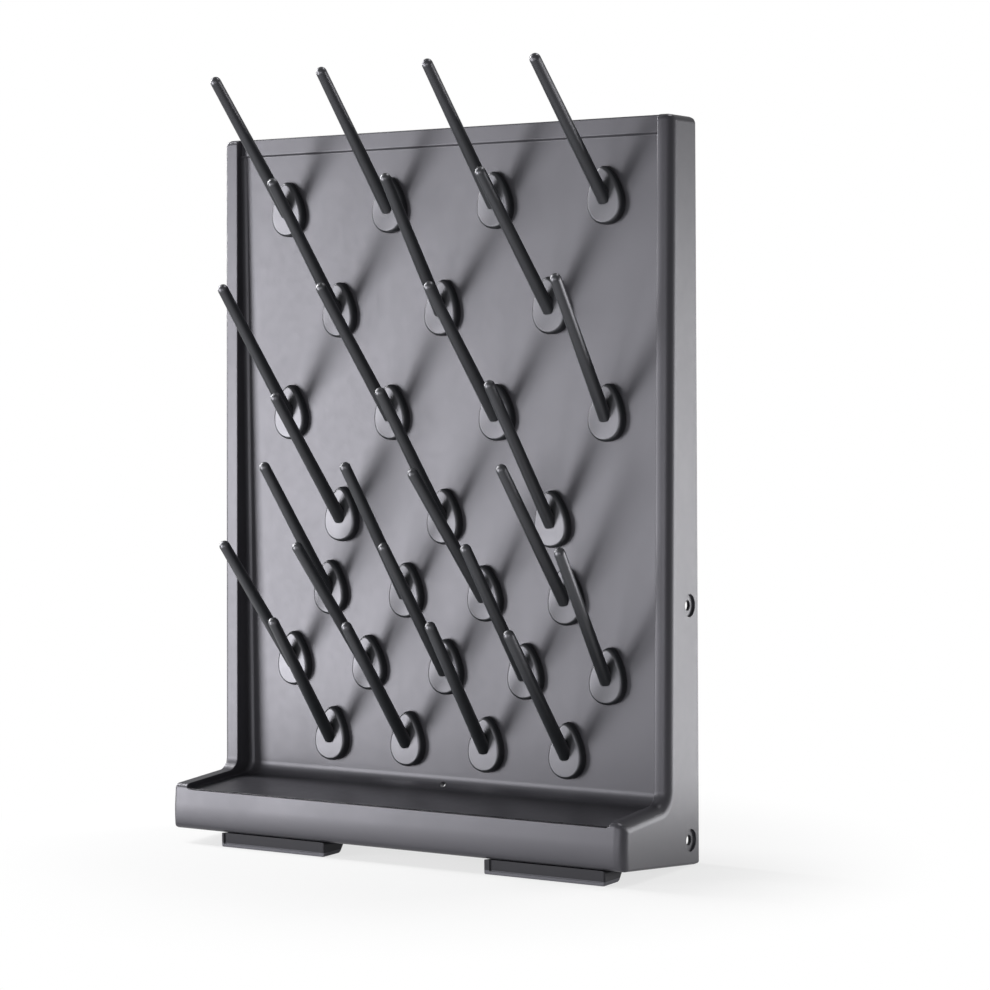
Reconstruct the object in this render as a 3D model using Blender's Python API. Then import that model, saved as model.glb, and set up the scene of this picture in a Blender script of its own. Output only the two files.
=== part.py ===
"""Drying pegboard rack for laboratory glassware.

A one-piece moulded back board stands on two feet at its front and on a heel at its back. It has a
shallow drip tray along its foot, a hollow open back, and twenty-seven equal pegs that plug into it.
Metres throughout, +Z up. The front faces -Y, and the origin is on the ground, in the middle of the
rack's own box.
"""

import math
from typing import NamedTuple

import bmesh
import bpy
from mathutils import Matrix, Vector

# Overall sizes of the back board. Depths are measured from the front face of its panel.
WIDTH = 0.400
HEIGHT = 0.550
SHELL_DEPTH = 0.030
TRAY_DEPTH = 0.087
WALL = 0.003

# The two cheeks beside the panel, which stand further forward towards the tray.
CHEEK_THICKNESS = 0.0119
CHEEK_TOP_PROUD = 0.0078
CHEEK_FOOT_PROUD = 0.0185
CHEEK_ROUNDING = 0.0055
TOP_FRONT_RADIUS = 0.004
TOP_BACK_RADIUS = 0.004
TOP_ROUNDING = 0.005
BACK_ROUNDING = 0.001
BACK_ROUNDING_END = 0.015

# The lip that frames the panel at its top.
LIP_HEIGHT = 0.0125
LIP_PROUD = 0.003
LIP_FILLET = 0.005

# The tray: the tops of its side walls, its front wall, and its floor, which rises to the panel.
RIM_BACK_HEIGHT = 0.050
RIM_FRONT_HEIGHT = 0.046
RIM_FILLET = 0.010
TRAY_TOP_SETBACK = 0.001
TRAY_FRONT_RADIUS = 0.004
TRAY_ROUNDING = 0.0055
FRONT_WALL_HEIGHT = 0.0422
FRONT_LAND = 0.003
FLOOR_DROP = 0.001
FLOOR_BACK_HEIGHT = 0.045
FLOOR_FILLET = 0.009
PANEL_SIDE_FILLET = 0.0045
FLOOR_SIDE_FILLET = 0.002

# The underside slopes from the tray's front down to the heel.
UNDERSIDE_FRONT_HEIGHT = 0.0113
HEEL_DEPTH = 0.006
HEEL_RADIUS = 0.0015
HEEL_ROUNDING = 0.002

# The small drain hole where the floor meets the panel, left of the middle.
DRAIN_RADIUS = 0.0025
DRAIN_OFFSET = -0.004
DRAIN_HEIGHT = 0.0465
DRAIN_PITCH = math.radians(35)

# The stepped holes in both side walls, each in a cup behind the wall.
SIDE_HOLE_DEPTH = 0.0165
SIDE_HOLE_HEIGHTS = (0.019, 0.1925)
SIDE_HOLE_RADIUS = 0.0039
SIDE_STEP_RADIUS = 0.0084
SIDE_STEP_DEPTH = 0.0018
SIDE_CUP_WALL = 0.0025

# The pegs' places: four wide rows above and three close rows below, each set about the middle.
# A step's share is of the height between the first and last rows, and a pitch's of the panel's width.
TOP_ROW_DROP = 0.0565
BOTTOM_ROW_RISE = 0.0366
UPPER_STEP_SHARE = 0.1933
UPPER_PITCH_SHARE = 0.2525
LOWER_PITCH_SHARE = 0.1887

# How far each peg is turned in its round hole, in degrees towards +X, from left to right.
UPPER_TURNS = (
    (-1.5, -0.5, -1.5, -3.5),
    (1, 5, -3.5),
    (0, -2, -1, 4),
    (2, 0, -2.5),
)
LOWER_TURNS = (
    (-0.5, 1, -4, -2.5),
    (-1, -3, 0.5, 0.5, 5),
    (4.5, 2.5, 3, 2),
)

# How far each long rod has set upwards from the moulded lean, in degrees, in the same order.
UPPER_LIFTS = (
    (-1.5, -0.5, -0.5, -2),
    (-1, -1, -0.5),
    (0, -0.5, -1.5, 1),
    (-2, 0.5, 4),
)
LOWER_LIFTS = (
    (1.5, 2, -0.5, 2),
    (-0.5, 0, 1, 1.5, 1.5),
    (0, -0.5, 1.5, -0.5),
)

# A peg: a tapered rod that leans up out of an egg-shaped collar. The collar is as wide as its half
# width says at its middle, and the taper is the share by which it narrows from there to its head.
ROD_LENGTH = 0.1267
ROD_LEAN = 49.3
ROD_ROOT_RADIUS = 0.0050
ROD_TIP_RADIUS = 0.0041
ROD_ROOT_DROP = 0.001
COLLAR_THICKNESS = 0.007
COLLAR_HALF_WIDTH = 0.0143
COLLAR_HALF_HEIGHT = 0.0215
COLLAR_TAPER = 0.30
COLLAR_EDGE = 0.003
ROOT_BURIED = 0.0035

# The peg's split plug behind the collar, with a bead that snaps in behind the panel.
PLUG_RADIUS = 0.006
PLUG_CLEARANCE = 0.0003
BEAD_HEIGHT = 0.0009
BEAD_RISE = 0.0008
PLUG_TAIL = 0.006
PLUG_TAIL_RADIUS = 0.0048
SLOT_WIDTH = 0.0016

# The feet: each one's distance from its own side and its length, their depths at the top and at
# the ground, and their front pockets.
FOOT_LEFT_INSET = 0.0457
FOOT_LEFT_LENGTH = 0.0968
FOOT_RIGHT_INSET = 0.0155
FOOT_RIGHT_LENGTH = 0.1008
FOOT_SETBACK = 0.0008
FOOT_TOP_DEPTH = 0.028
FOOT_GROUND_DEPTH = 0.022
FOOT_HEEL_RADIUS = 0.004
FOOT_EDGE = 0.002
POCKET_DEPTH = 0.0012
POCKET_FRAME = 0.0025
STUD_RADIUS = 0.004
STUD_RISE = 0.003
STUD_SETBACK = 0.014
STUD_INSET = 0.020

SEAT_GAP = 0.0003
OVERCUT = 0.020
FINE_RADIUS = 0.0005
ARC_STEP = math.radians(30)
ROUNDING_STEPS = 3
ROUND_SIDES = 16
COLLAR_SIDES = 18
PEG_SIDES = 12
TIP_STEPS = 3

# What follows from the sizes above.
INNER_HALF_WIDTH = WIDTH / 2 - CHEEK_THICKNESS
UPPER_PITCH = 2 * INNER_HALF_WIDTH * UPPER_PITCH_SHARE
LOWER_PITCH = 2 * INNER_HALF_WIDTH * LOWER_PITCH_SHARE
TOP_ROW_HEIGHT = HEIGHT - TOP_ROW_DROP
BOTTOM_ROW_HEIGHT = FLOOR_BACK_HEIGHT + BOTTOM_ROW_RISE
UPPER_STEP = (TOP_ROW_HEIGHT - BOTTOM_ROW_HEIGHT) * UPPER_STEP_SHARE
UPPER_STEPS_DOWN = UPPER_STEP * (len(UPPER_TURNS) - 1)
LOWER_STEP = (TOP_ROW_HEIGHT - BOTTOM_ROW_HEIGHT - UPPER_STEPS_DOWN) / len(LOWER_TURNS)
FOOT_LEFT_START = FOOT_LEFT_INSET - WIDTH / 2
FOOT_RIGHT_END = WIDTH / 2 - FOOT_RIGHT_INSET
FOOT_LEFT_SPAN = (FOOT_LEFT_START, FOOT_LEFT_START + FOOT_LEFT_LENGTH)
FOOT_RIGHT_SPAN = (FOOT_RIGHT_END - FOOT_RIGHT_LENGTH, FOOT_RIGHT_END)
COLLAR_FACE = SEAT_GAP + COLLAR_THICKNESS
LOWEST_LEAN = ROD_LEAN + min(min(row) for row in UPPER_LIFTS + LOWER_LIFTS)
PEG_REACH = COLLAR_FACE + ROD_LENGTH * math.cos(math.radians(LOWEST_LEAN)) + ROD_TIP_RADIUS
PANEL_PLACE = (max(PEG_REACH, TRAY_DEPTH) - SHELL_DEPTH) / 2


class Corner(NamedTuple):
    """A corner of a side outline, its own radius, and the rounding of the side edge beside it."""

    y: float
    z: float
    radius: float
    rounding: float


class Station(NamedTuple):
    """A point of an outline that knows where it lies when the outline is moved inwards."""

    centre: Vector
    radius: float
    normal: Vector
    mitre: Vector
    rounding: float

    def moved_in(self, inset):
        """The point's place with the outline moved in by inset, or out where inset is negative."""
        reach = self.radius - inset
        return self.centre + reach * (self.normal if self.radius * reach > 0 else self.mitre)


def outward(start, end):
    """The outward normal of one straight side of an outline that runs counter-clockwise."""
    along = (end - start).normalized()
    return Vector((along.y, -along.x))


def stations(corners):
    """The points of an outline, with an arc at each corner that has a radius."""
    places = [Vector((corner.y, corner.z)) for corner in corners]
    found = []
    for index, corner in enumerate(corners):
        before, here, after = places[index - 1], places[index], places[(index + 1) % len(places)]
        first, last = outward(before, here), outward(here, after)
        mitre = (first + last) / (1 + first.dot(last))
        turn = math.atan2(first.x * last.y - first.y * last.x, first.dot(last))
        radius = math.copysign(corner.radius, turn)
        centre = here - radius * mitre
        steps = math.ceil(abs(turn) / ARC_STEP) if corner.radius else 0
        for step in range(steps + 1):
            share = step / steps if steps else 0
            normal = Matrix.Rotation(turn * share, 2) @ first
            found.append(Station(centre, radius, normal, mitre, corner.rounding))
    return found


def new_object(name, bm):
    """A scene object from a bmesh whose faces are turned outwards."""
    bmesh.ops.remove_doubles(bm, verts=bm.verts, dist=1e-7)
    bmesh.ops.recalc_face_normals(bm, faces=bm.faces)
    mesh = bpy.data.meshes.new(name)
    bm.to_mesh(mesh)
    bm.free()
    obj = bpy.data.objects.new(name, mesh)
    bpy.context.scene.collection.objects.link(obj)
    return obj


def skinned(bm, rings):
    """Closes a row of equal rings into one solid, with a cap at each end."""
    for one, other in zip(rings, rings[1:]):
        for index in range(len(one)):
            after = (index + 1) % len(one)
            bm.faces.new((one[index], one[after], other[after], other[index]))
    bm.faces.new(rings[0])
    bm.faces.new(rings[-1])


def rounded_slab(name, points, half_width, inset=0.0, more_rounding=0.0):
    """A side outline drawn out along X, with its side edges rounded over by each point's own amount."""
    bm = bmesh.new()
    rings = []
    for side, order in ((1, range(ROUNDING_STEPS + 1)), (-1, range(ROUNDING_STEPS, -1, -1))):
        for step in order:
            angle = step / ROUNDING_STEPS * math.pi / 2
            ring = []
            for point in points:
                rounding = max(point.rounding + more_rounding, FINE_RADIUS)
                y, z = point.moved_in(inset + rounding * (1 - math.sin(angle)))
                x = side * (half_width - rounding * (1 - math.cos(angle)))
                ring.append(bm.verts.new((x, y, z)))
            rings.append(ring)
    skinned(bm, rings)
    return new_object(name, bm)


def turned(name, profile, sides, placement):
    """A turned solid from (radius, height) pairs along its own Z axis, put in place by a matrix."""
    bm = bmesh.new()
    rings = []
    for radius, height in profile:
        angles = (2 * math.pi * index / sides for index in range(sides))
        rings.append([bm.verts.new((radius * math.cos(a), radius * math.sin(a), height)) for a in angles])
    skinned(bm, rings)
    bmesh.ops.transform(bm, matrix=placement, verts=bm.verts)
    return new_object(name, bm)


def along(direction, origin=(0, 0, 0)):
    """A matrix that turns the Z axis into a direction, at a place."""
    turn = Vector(direction).to_track_quat("Z", "Y").to_matrix().to_4x4()
    return Matrix.Translation(origin) @ turn


def combine(obj, other, operation):
    """Adds a Boolean of one object with another, which becomes a hidden tool."""
    modifier = obj.modifiers.new(other.name, "BOOLEAN")
    modifier.operation = operation
    modifier.solver = "EXACT"
    modifier.object = other
    other.hide_render = True
    other.display_type = "WIRE"


def settle(obj, smooth_angle=math.radians(31)):
    """Works the modifiers into the mesh, and shades its round stretches smooth."""
    graph = bpy.context.evaluated_depsgraph_get()
    mesh = bpy.data.meshes.new_from_object(obj.evaluated_get(graph))
    mesh.name = obj.name
    tools = [modifier.object for modifier in obj.modifiers if modifier.type == "BOOLEAN"]
    obj.modifiers.clear()
    obj.data = mesh
    mesh.shade_smooth()
    mesh.set_sharp_from_angle(angle=smooth_angle)
    for tool in tools:
        if tool.name in bpy.data.objects:
            bpy.data.objects.remove(tool)


def material(name, colour, roughness):
    """A plain plastic of one colour."""
    made = bpy.data.materials.new(name)
    made.use_nodes = True
    made.diffuse_color = (*colour, 1)
    shader = made.node_tree.nodes["Principled BSDF"]
    shader.inputs["Base Color"].default_value = (*colour, 1)
    shader.inputs["Roughness"].default_value = roughness
    shader.inputs["Metallic"].default_value = 0
    return made


def underside_height(depth_from_panel):
    """The height of the sloping underside at a distance in front of the panel."""
    heel_front = HEEL_DEPTH - SHELL_DEPTH
    return UNDERSIDE_FRONT_HEIGHT * (depth_from_panel - heel_front) / (TRAY_DEPTH - heel_front)


def board_corners(back):
    """The side outline of the whole board, for a back plane at a given depth."""
    return [
        Corner(back, 0, HEEL_RADIUS, BACK_ROUNDING),
        Corner(back, HEIGHT - BACK_ROUNDING_END, 0, BACK_ROUNDING),
        Corner(back, HEIGHT, TOP_BACK_RADIUS, TOP_ROUNDING),
        Corner(-CHEEK_TOP_PROUD, HEIGHT, TOP_FRONT_RADIUS, TOP_ROUNDING),
        Corner(-CHEEK_FOOT_PROUD, RIM_BACK_HEIGHT, RIM_FILLET, CHEEK_ROUNDING),
        Corner(TRAY_TOP_SETBACK - TRAY_DEPTH, RIM_FRONT_HEIGHT, TRAY_FRONT_RADIUS, TRAY_ROUNDING),
        Corner(-TRAY_DEPTH, UNDERSIDE_FRONT_HEIGHT, TRAY_FRONT_RADIUS, TRAY_ROUNDING),
        Corner(SHELL_DEPTH - HEEL_DEPTH, 0, 0, HEEL_ROUNDING),
    ]


def recess_corners():
    """The side outline of the open space in front of the panel and over the tray's floor."""
    beyond_top = HEIGHT + OVERCUT
    beyond_front = -TRAY_DEPTH - OVERCUT
    lip_foot = HEIGHT - LIP_HEIGHT
    land_back = FRONT_LAND - TRAY_DEPTH + TRAY_TOP_SETBACK
    return [
        Corner(0, FLOOR_BACK_HEIGHT, FLOOR_FILLET, PANEL_SIDE_FILLET),
        Corner(0, lip_foot - LIP_PROUD, LIP_FILLET, PANEL_SIDE_FILLET),
        Corner(-LIP_PROUD, lip_foot, LIP_FILLET / 2, PANEL_SIDE_FILLET / 2),
        Corner(-LIP_PROUD, beyond_top, 0, FLOOR_SIDE_FILLET),
        Corner(beyond_front, beyond_top, 0, FLOOR_SIDE_FILLET),
        Corner(beyond_front, FRONT_WALL_HEIGHT, 0, FLOOR_SIDE_FILLET),
        Corner(land_back, FRONT_WALL_HEIGHT, 0, FLOOR_SIDE_FILLET),
        Corner(land_back + FLOOR_DROP, FRONT_WALL_HEIGHT - FLOOR_DROP, 0, FLOOR_SIDE_FILLET),
    ]


def shell():
    """The board's outer form, less the recess before it and the hollow behind it."""
    board = rounded_slab("rack_body", stations(board_corners(SHELL_DEPTH)), WIDTH / 2)
    recess = stations(recess_corners())
    hollow_points = stations(board_corners(SHELL_DEPTH + OVERCUT))
    hollow = rounded_slab("hollow", hollow_points, WIDTH / 2 - WALL, WALL, -WALL)
    kept = rounded_slab("recess_wall", recess, INNER_HALF_WIDTH + WALL, -WALL, WALL)
    combine(hollow, kept, "DIFFERENCE")
    settle(hollow)
    combine(board, rounded_slab("recess", recess, INNER_HALF_WIDTH), "DIFFERENCE")
    combine(board, hollow, "DIFFERENCE")
    settle(board)
    return board


def side_holes(board):
    """A cup behind each side wall, with a stepped hole through it."""
    for side in (-1, 1):
        for height in SIDE_HOLE_HEIGHTS:
            face = Vector((side * WIDTH / 2, SIDE_HOLE_DEPTH, height))
            inwards = along((-side, 0, 0), face)
            cup_depth = SIDE_STEP_DEPTH + SIDE_CUP_WALL
            cup_radius = SIDE_STEP_RADIUS + SIDE_CUP_WALL
            cup = turned("cup", ((cup_radius, WALL / 2), (cup_radius, cup_depth)), ROUND_SIDES, inwards)
            combine(board, cup, "UNION")
            profile = (
                (SIDE_STEP_RADIUS, -OVERCUT),
                (SIDE_STEP_RADIUS, SIDE_STEP_DEPTH),
                (SIDE_HOLE_RADIUS, SIDE_STEP_DEPTH),
                (SIDE_HOLE_RADIUS, cup_depth + OVERCUT / 2),
            )
            combine(board, turned("stepped_hole", profile, ROUND_SIDES, inwards), "DIFFERENCE")
            settle(board)


def drain_hole(board):
    """The small sloping hole through the fillet between floor and panel."""
    direction = Vector((0, math.cos(DRAIN_PITCH), -math.sin(DRAIN_PITCH)))
    middle = Vector((DRAIN_OFFSET, 0, DRAIN_HEIGHT))
    profile = ((DRAIN_RADIUS, -2 * FLOOR_FILLET), (DRAIN_RADIUS, 2 * FLOOR_FILLET))
    combine(board, turned("drain", profile, PEG_SIDES, along(direction, middle)), "DIFFERENCE")
    settle(board)


class PegPlace(NamedTuple):
    """Where a peg goes, how far it is turned there, and how far its rod has set upwards, in degrees."""

    name: str
    x: float
    height: float
    turn: float
    lift: float


def peg_places():
    """The place of every peg, from the top left."""
    places = []
    height = TOP_ROW_HEIGHT
    for row, (turns, lifts) in enumerate(zip(UPPER_TURNS + LOWER_TURNS, UPPER_LIFTS + LOWER_LIFTS), 1):
        upper = row <= len(UPPER_TURNS)
        pitch = UPPER_PITCH if upper else LOWER_PITCH
        for column, (turn, lift) in enumerate(zip(turns, lifts), 1):
            x = (column - (len(turns) + 1) / 2) * pitch
            places.append(PegPlace(f"peg_{row}_{column}", x, height, turn, lift))
        height -= UPPER_STEP if row < len(UPPER_TURNS) else LOWER_STEP
    return places


def peg_holes(board):
    """One round hole through the panel for each peg's plug."""
    bm = bmesh.new()
    for place in peg_places():
        bmesh.ops.create_cone(
            bm,
            cap_ends=True,
            segments=ROUND_SIDES,
            radius1=PLUG_RADIUS + PLUG_CLEARANCE,
            radius2=PLUG_RADIUS + PLUG_CLEARANCE,
            depth=4 * WALL,
            matrix=along((0, 1, 0), (place.x, 0, place.height)),
        )
    combine(board, new_object("peg_holes", bm), "DIFFERENCE")
    settle(board)


def stud_places(span):
    """The places of a foot's two studs, with the height of the underside there."""
    y = STUD_SETBACK - TRAY_DEPTH
    return [Vector((x, y, underside_height(-y))) for x in (span[0] + STUD_INSET, span[1] - STUD_INSET)]


def stud_holes(board):
    """The holes in the underside that take the feet's studs."""
    radius = STUD_RADIUS + PLUG_CLEARANCE
    profile = ((radius, -2 * WALL), (radius, 2 * WALL))
    for span in (FOOT_LEFT_SPAN, FOOT_RIGHT_SPAN):
        for place in stud_places(span):
            hole = turned("stud_hole", profile, PEG_SIDES, Matrix.Translation(place))
            combine(board, hole, "DIFFERENCE")
    settle(board)


def rack_body(origin):
    """The whole moulded board, with its holes."""
    board = shell()
    side_holes(board)
    drain_hole(board)
    peg_holes(board)
    stud_holes(board)
    board.data.materials.append(material("board_plastic", (0.150, 0.150, 0.155), 0.45))
    board.parent = origin
    return board


def egg(inset):
    """The collar's outline in X and Z, moved in by an amount: an oval that is widest below its middle."""
    points = []
    for side in range(COLLAR_SIDES):
        angle = 2 * math.pi * side / COLLAR_SIDES
        width = (COLLAR_HALF_WIDTH - inset) * (1 - COLLAR_TAPER * math.sin(angle))
        points.append((width * math.cos(angle), (COLLAR_HALF_HEIGHT - inset) * math.sin(angle)))
    return points


def collar():
    """The egg-shaped plate, flat behind, with a drafted and rounded edge to its face."""
    bm = bmesh.new()
    section = (
        (0, 0),
        (0.5 * COLLAR_THICKNESS, 0.1 * COLLAR_EDGE),
        (0.85 * COLLAR_THICKNESS, 0.45 * COLLAR_EDGE),
        (COLLAR_THICKNESS, COLLAR_EDGE),
    )
    skinned(
        bm,
        [[bm.verts.new((x, -SEAT_GAP - rise, z)) for x, z in egg(inset)] for rise, inset in section],
    )
    return new_object("peg", bm)


def rod(lean_degrees):
    """The tapered rod with its round tip. Its root ends on a plane inside the collar."""
    angle_up = math.radians(lean_degrees)
    lean = Vector((0, -math.cos(angle_up), math.sin(angle_up)))
    root = Vector((0, -COLLAR_FACE, -ROD_ROOT_DROP))
    placement = along(lean, root)
    bm = bmesh.new()
    sections = [(ROD_ROOT_RADIUS, 0)]
    for step in range(TIP_STEPS):
        angle = math.radians(90) * step / (TIP_STEPS - 0.5)
        sections.append((ROD_TIP_RADIUS * math.cos(angle), ROD_LENGTH + ROD_TIP_RADIUS * math.sin(angle)))
    rings = []
    for radius, height in sections:
        angles = [2 * math.pi * index / PEG_SIDES for index in range(PEG_SIDES)]
        rings.append([placement @ Vector((radius * math.cos(a), radius * math.sin(a), height)) for a in angles])
    buried = ROOT_BURIED - COLLAR_FACE
    rings[0] = [point + lean * (buried - point.y) / lean.y for point in rings[0]]
    skinned(bm, [[bm.verts.new(point) for point in ring] for ring in rings])
    return new_object("rod", bm)


def plug():
    """The round plug with its snap bead, which runs from inside the collar out behind the panel."""
    bead = WALL + SEAT_GAP
    profile = (
        (PLUG_RADIUS, -COLLAR_THICKNESS / 2),
        (PLUG_RADIUS, bead),
        (PLUG_RADIUS + BEAD_HEIGHT, bead + BEAD_RISE),
        (PLUG_TAIL_RADIUS, bead + PLUG_TAIL),
    )
    return turned("plug", profile, PEG_SIDES, along((0, 1, 0)))


def plug_slot():
    """The slot that lets the plug's end close up as it snaps in."""
    bm = bmesh.new()
    end = WALL + PLUG_TAIL + OVERCUT / 2
    size = (SLOT_WIDTH, end, 4 * PLUG_RADIUS)
    bmesh.ops.create_cube(bm, size=1, matrix=Matrix.Diagonal((*size, 1)))
    bmesh.ops.translate(bm, vec=(0, WALL / 2 + end / 2, 0), verts=bm.verts)
    return new_object("slot", bm)


def peg_mesh(lift, finish):
    """One whole peg, with its rod set upwards by a few degrees."""
    made = collar()
    combine(made, rod(ROD_LEAN + lift), "UNION")
    combine(made, plug(), "UNION")
    combine(made, plug_slot(), "DIFFERENCE")
    settle(made)
    mesh = made.data
    bpy.data.objects.remove(made)
    mesh.materials.append(finish)
    return mesh


def pegs(origin):
    """All the pegs, each turned in its hole by its own small angle. Those with equal lifts share a mesh."""
    finish = material("peg_plastic", (0.026, 0.026, 0.028), 0.32)
    meshes = {}
    for place in peg_places():
        if place.lift not in meshes:
            meshes[place.lift] = peg_mesh(place.lift, finish)
        peg = bpy.data.objects.new(place.name, meshes[place.lift])
        bpy.context.scene.collection.objects.link(peg)
        peg.parent = origin
        peg.location = (place.x, 0, place.height)
        peg.rotation_euler = (0, math.radians(place.turn), 0)


def foot(name, span, inner_end, origin, finish):
    """A foot under the tray, with a shallow pocket in its front that is framed at its inner end."""
    front = FOOT_SETBACK - TRAY_DEPTH
    back_top = front + FOOT_TOP_DEPTH
    corners = [
        Corner(front, 0, FOOT_EDGE / 2, FOOT_EDGE),
        Corner(front + FOOT_GROUND_DEPTH, 0, FOOT_HEEL_RADIUS, FOOT_EDGE),
        Corner(back_top, underside_height(-back_top) - SEAT_GAP, 0, FOOT_EDGE / 2),
        Corner(front, underside_height(-front) - SEAT_GAP, 0, FOOT_EDGE),
    ]
    middle = (span[0] + span[1]) / 2
    made = rounded_slab(name, stations(corners), (span[1] - span[0]) / 2)
    made.data.transform(Matrix.Translation((middle, 0, 0)))
    bm = bmesh.new()
    bmesh.ops.create_cube(bm, size=1)
    length = span[1] - span[0] - 3 * POCKET_FRAME
    height = 2 * UNDERSIDE_FRONT_HEIGHT
    bmesh.ops.scale(bm, vec=(length, 2 * POCKET_DEPTH, height), verts=bm.verts)
    pocket_middle = middle - inner_end * POCKET_FRAME / 2
    bmesh.ops.translate(bm, vec=(pocket_middle, front, POCKET_FRAME + height / 2), verts=bm.verts)
    combine(made, new_object("pocket", bm), "DIFFERENCE")
    stud = ((STUD_RADIUS, -WALL), (STUD_RADIUS, WALL + STUD_RISE))
    for place in stud_places(span):
        combine(made, turned("stud", stud, PEG_SIDES, Matrix.Translation(place)), "UNION")
    settle(made)
    made.data.materials.append(finish)
    made.parent = origin


def build():
    """Clears the scene and makes the rack."""
    for obj in list(bpy.data.objects):
        bpy.data.objects.remove(obj)
    origin = bpy.data.objects.new("panel_front", None)
    bpy.context.scene.collection.objects.link(origin)
    origin.location = (0, PANEL_PLACE, 0)
    rack_body(origin)
    pegs(origin)
    foot_finish = material("foot_plastic", (0.085, 0.085, 0.088), 0.5)
    foot("foot_left", FOOT_LEFT_SPAN, 1, origin, foot_finish)
    foot("foot_right", FOOT_RIGHT_SPAN, -1, origin, foot_finish)
    bpy.context.view_layer.update()


build()
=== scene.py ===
"""Dresses the drying pegboard rack: its moulded board, its twenty-seven pegs and its two feet.

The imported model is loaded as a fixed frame. Each piece of the frame is replaced by a finely rounded
one, modelled at the same place with Blender's own tools, and given a moulded plastic of its own.
Metres throughout, +Z up. The front faces -Y.
"""

import logging
import math
from contextlib import contextmanager
from dataclasses import dataclass
from enum import Enum
from typing import Callable, Iterator, Union

import bmesh
import bpy
from mathutils import Matrix, Vector


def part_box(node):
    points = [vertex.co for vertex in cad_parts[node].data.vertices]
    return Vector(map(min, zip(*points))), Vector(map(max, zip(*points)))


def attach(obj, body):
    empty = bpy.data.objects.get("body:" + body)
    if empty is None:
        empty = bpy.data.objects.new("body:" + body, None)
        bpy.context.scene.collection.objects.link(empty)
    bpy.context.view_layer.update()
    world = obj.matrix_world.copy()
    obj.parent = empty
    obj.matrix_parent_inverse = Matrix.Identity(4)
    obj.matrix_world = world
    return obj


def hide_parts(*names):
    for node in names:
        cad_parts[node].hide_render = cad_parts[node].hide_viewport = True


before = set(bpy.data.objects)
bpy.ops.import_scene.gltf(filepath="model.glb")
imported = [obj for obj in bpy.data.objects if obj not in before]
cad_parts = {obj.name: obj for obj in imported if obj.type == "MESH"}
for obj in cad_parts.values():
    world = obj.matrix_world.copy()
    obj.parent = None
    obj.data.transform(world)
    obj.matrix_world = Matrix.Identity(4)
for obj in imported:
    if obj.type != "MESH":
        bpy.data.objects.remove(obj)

log = logging.getLogger("rack")

Solid = bpy.types.Object
Triple = tuple[float, float, float]

BODY = "root"

# The gap that seated pieces keep, the moulding's wall, and how far a cutter reaches past it.
SEAT_GAP = 0.0003
WALL = 0.003
OVERCUT = 0.020

# How close two places are that count as one, and as neighbours.
TOUCHING = 1e-5
NEAR = 1e-4

# The facets of each arc in an outline.
ARC_STEPS = 8


class Slot(Enum):
    """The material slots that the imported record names."""

    BOARD = "board"
    PEG = "peg"
    FOOT = "foot"


class Join(Enum):
    """What one solid does to another."""

    ADD = "UNION"
    CUT = "DIFFERENCE"


Number = Union["Value", float]


class Value:
    """A number, colour or vector that a shader node gives out, for use in expressions."""

    def __init__(self, wiring: "Wiring", socket: bpy.types.NodeSocket) -> None:
        """Keeps the socket and the wiring that new nodes go into."""
        self.wiring = wiring
        self.socket = socket

    def maths(self, operation: str, other: Number, first: bool = True) -> "Value":
        """Puts this value and another through a Math node, in this order or in the other."""
        inputs = {0: self, 1: other} if first else {0: other, 1: self}
        return self.wiring.node("ShaderNodeMath", {"operation": operation}, inputs)

    def __add__(self, other: Number) -> "Value":
        """This value plus another."""
        return self.maths("ADD", other)

    __radd__ = __add__

    def __sub__(self, other: Number) -> "Value":
        """This value minus another."""
        return self.maths("SUBTRACT", other)

    def __rsub__(self, other: float) -> "Value":
        """A number minus this value."""
        return self.maths("SUBTRACT", other, first=False)

    def __mul__(self, other: Number) -> "Value":
        """This value times another."""
        return self.maths("MULTIPLY", other)

    __rmul__ = __mul__

    def clamped(self) -> "Value":
        """This value kept between 0 and 1."""
        return self.wiring.node("ShaderNodeClamp", {}, {"Value": self})

    def ramp(self, low: float, high: float, at_low: float = 0, at_high: float = 1) -> "Value":
        """Turns a stretch of this value into another, smoothly and without passing its ends.

        Args:
            low: The value at which the new stretch starts.
            high: The value at which it ends.
            at_low: What comes out at the start.
            at_high: What comes out at the end.

        Returns:
            The new value.
        """
        settings = {"interpolation_type": "SMOOTHSTEP"}
        inputs = {"Value": self, "From Min": low, "From Max": high}
        inputs |= {"To Min": at_low, "To Max": at_high}
        return self.wiring.node("ShaderNodeMapRange", settings, inputs)


@dataclass(frozen=True)
class Pattern:
    """A cloudy pattern, and the stretch of its values that shows as spots.

    Attributes:
        scale: Its cycles for each metre.
        detail: How many finer layers it has.
        roughness: How strong the finer layers are.
        low: The value up to which a spot shows least.
        high: The value from which it shows in full.
        least: How far it shows at the least.
    """

    scale: float
    detail: float = 2.0
    roughness: float = 0.5
    low: float = 0.0
    high: float = 1.0
    least: float = 0.0


FLOW_CLOUDS = Pattern(14.0, 3.0, 0.55)
MOTTLE = Pattern(140.0)
SCUFF_LINES = Pattern(1.0, 3.0, 0.7, low=0.60, high=0.78)
SCUFFED_PATCHES = Pattern(30.0, 1.0, low=0.45, high=0.7)
EDGE_BREAKS = Pattern(420.0, 3.0, low=0.35, high=0.65, least=0.35)
FINE_GRAIN = Pattern(1400.0, 2.0, 0.6)
SLOW_WAVES = Pattern(95.0, 1.0)

# How the clouds and the scuffs are drawn out along each axis.
CLOUD_FLOW = (1.0, 1.0, 0.45)
SCUFF_STRETCH = (900.0, 900.0, 25.0)

# How much lighter a spot is, as a share of the colour, or of the clouds for the mottle.
MOTTLE_LIGHT = 0.7
SCUFF_LIGHT = 0.07
# Painted light: how much lighter a part is painted along its bottom, as a share of the colour.
BOTTOM_LIGHT_PAINT = 5.0
# Where the painted light along the bottom starts to fade, as a share of its height.
BOTTOM_LIGHT_FADE = 0.8
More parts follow.
